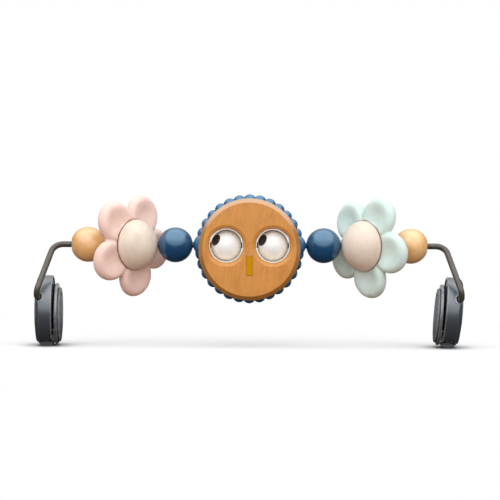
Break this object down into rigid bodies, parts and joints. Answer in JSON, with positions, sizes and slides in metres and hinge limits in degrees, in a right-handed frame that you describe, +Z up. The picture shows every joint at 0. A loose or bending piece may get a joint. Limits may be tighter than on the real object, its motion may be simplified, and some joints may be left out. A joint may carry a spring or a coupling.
{
  "type": "bouncer toy bar",
  "caption": "Bent bar with turning beads, flowers and a wooden face with rolling eyes, clipped across a baby bouncer at both ends.",
  "frame": {"origin": "centre of the bounding box in X and Y, on the floor that both clips' feet stand on", "axes": "+X along the bar from the pink flower's end to the mint flower's end, -Y to the front, +Z up"},
  "size_m": [0.4291, 0.0807, 0.1521],
  "materials": {
    "coated_steel": "satin taupe coat",
    "bright_steel": "bright",
    "blue_lacquer": "satin lacquer over wood",
    "natural_wood": "clear satin",
    "pale_wood": "matte, finely speckled",
    "face_wood": "clear satin",
    "dowel_wood": "bare",
    "mustard_paint": "matte paint",
    "pink_petal": "matte",
    "mint_petal": "matte",
    "white_plastic": "soft gloss",
    "black_plastic": "gloss",
    "slate_plastic": "satin",
    "dark_rubber": "matte"
  },
  "bodies": {
    "bar": {"bar": "coated_steel", "left_stop_ring": "bright_steel", "right_stop_ring": "bright_steel", "left_push_nut": "bright_steel", "right_push_nut": "bright_steel"},
    "left_end_bead": {"left_end_bead": "natural_wood"},
    "pink_flower": {"pink_petal_ring": "pink_petal", "pink_flower_front_half": "pale_wood", "pink_flower_back_half": "pale_wood", "pink_flower_lower_dowel": "dowel_wood", "pink_flower_upper_dowel": "dowel_wood"},
    "left_blue_bead": {"left_blue_bead": "blue_lacquer"},
    "face": {"face_front_disc": "face_wood", "face_back_disc": "face_wood", "face_scalloped_disc": "blue_lacquer", "face_beak": "mustard_paint", "face_dowel_1": "dowel_wood", "face_dowel_2": "dowel_wood", "face_dowel_3": "dowel_wood", "left_eye_liner": "white_plastic", "right_eye_liner": "white_plastic"},
    "left_eye": {"left_eye_ball": "white_plastic", "left_eye_pupil": "black_plastic"},
    "right_eye": {"right_eye_ball": "white_plastic", "right_eye_pupil": "black_plastic"},
    "right_blue_bead": {"right_blue_bead": "blue_lacquer"},
    "mint_flower": {"mint_petal_ring": "mint_petal", "mint_flower_front_half": "pale_wood", "mint_flower_back_half": "pale_wood", "mint_flower_lower_dowel": "dowel_wood", "mint_flower_upper_dowel": "dowel_wood"},
    "right_end_bead": {"right_end_bead": "natural_wood"},
    "left_clip": {"left_clip_shell": "slate_plastic", "left_clip_base": "slate_plastic", "left_clip_grip_pad": "dark_rubber", "left_clip_screw_1": "bright_steel", "left_clip_screw_2": "bright_steel", "left_clip_screw_3": "bright_steel", "left_wire_socket": "slate_plastic", "left_hinge_pin": "bright_steel", "left_jaw_spring": "bright_steel"},
    "left_jaw": {"left_jaw": "slate_plastic", "left_jaw_grip_pad": "dark_rubber", "left_jaw_cover": "slate_plastic"},
    "right_clip": {"right_clip_shell": "slate_plastic", "right_clip_base": "slate_plastic", "right_clip_grip_pad": "dark_rubber", "right_clip_screw_1": "bright_steel", "right_clip_screw_2": "bright_steel", "right_clip_screw_3": "bright_steel", "right_wire_socket": "slate_plastic", "right_hinge_pin": "bright_steel", "right_jaw_spring": "bright_steel"},
    "right_jaw": {"right_jaw": "slate_plastic", "right_jaw_grip_pad": "dark_rubber", "right_jaw_cover": "slate_plastic"}
  },
  "joints": [
    {"name": "left_end_bead_spin", "type": "hinge", "parent": "bar", "child": "left_end_bead", "pos_m": [-0.16107, 0, 0.1013], "axis": [1, 0, 0], "continuous": true},
    {"name": "pink_flower_spin", "type": "hinge", "parent": "bar", "child": "pink_flower", "pos_m": [-0.11756, 0, 0.1013], "axis": [1, 0, 0], "continuous": true},
    {"name": "left_blue_bead_spin", "type": "hinge", "parent": "bar", "child": "left_blue_bead", "pos_m": [-0.07405, 0, 0.1013], "axis": [1, 0, 0], "continuous": true},
    {"name": "face_spin", "type": "hinge", "parent": "bar", "child": "face", "pos_m": [0, 0, 0.1013], "axis": [1, 0, 0], "continuous": true},
    {"name": "left_eye_roll", "type": "hinge", "parent": "bar", "child": "left_eye", "pos_m": [-0.0232, 0, 0.1013], "axis": [1, 0, 0], "continuous": true},
    {"name": "right_eye_roll", "type": "hinge", "parent": "bar", "child": "right_eye", "pos_m": [0.0232, 0, 0.1013], "axis": [1, 0, 0], "continuous": true},
    {"name": "right_blue_bead_spin", "type": "hinge", "parent": "bar", "child": "right_blue_bead", "pos_m": [0.07405, 0, 0.1013], "axis": [1, 0, 0], "continuous": true},
    {"name": "mint_flower_spin", "type": "hinge", "parent": "bar", "child": "mint_flower", "pos_m": [0.11756, 0, 0.1013], "axis": [1, 0, 0], "continuous": true},
    {"name": "right_end_bead_spin", "type": "hinge", "parent": "bar", "child": "right_end_bead", "pos_m": [0.16107, 0, 0.1013], "axis": [1, 0, 0], "continuous": true},
    {"name": "left_clip_swivel", "type": "hinge", "parent": "bar", "child": "left_clip", "pos_m": [-0.2092, -0.02853, 0.0502], "axis": [0.165, 0.9863, 0], "range_deg": [-15, 15]},
    {"name": "right_clip_swivel", "type": "hinge", "parent": "bar", "child": "right_clip", "pos_m": [0.2092, -0.02853, 0.0502], "axis": [-0.165, 0.9863, 0], "range_deg": [-15, 15]},
    {"name": "left_jaw_hinge", "type": "hinge", "parent": "left_clip", "child": "left_jaw", "pos_m": [-0.2008, 0.003, 0.0068], "axis": [0, 1, 0], "range_deg": [0, 15], "stiffness_Nm_per_rad": 0.1, "springref_deg": -85.94, "deforming": ["left_jaw_spring"]},
    {"name": "right_jaw_hinge", "type": "hinge", "parent": "right_clip", "child": "right_jaw", "pos_m": [0.19745, 0.00244, 0.00718], "axis": [0.0005, -0.9999, 0.0129], "range_deg": [0, 15], "stiffness_Nm_per_rad": 0.1, "springref_deg": -85.94, "deforming": ["right_jaw_spring"]}
  ]
}
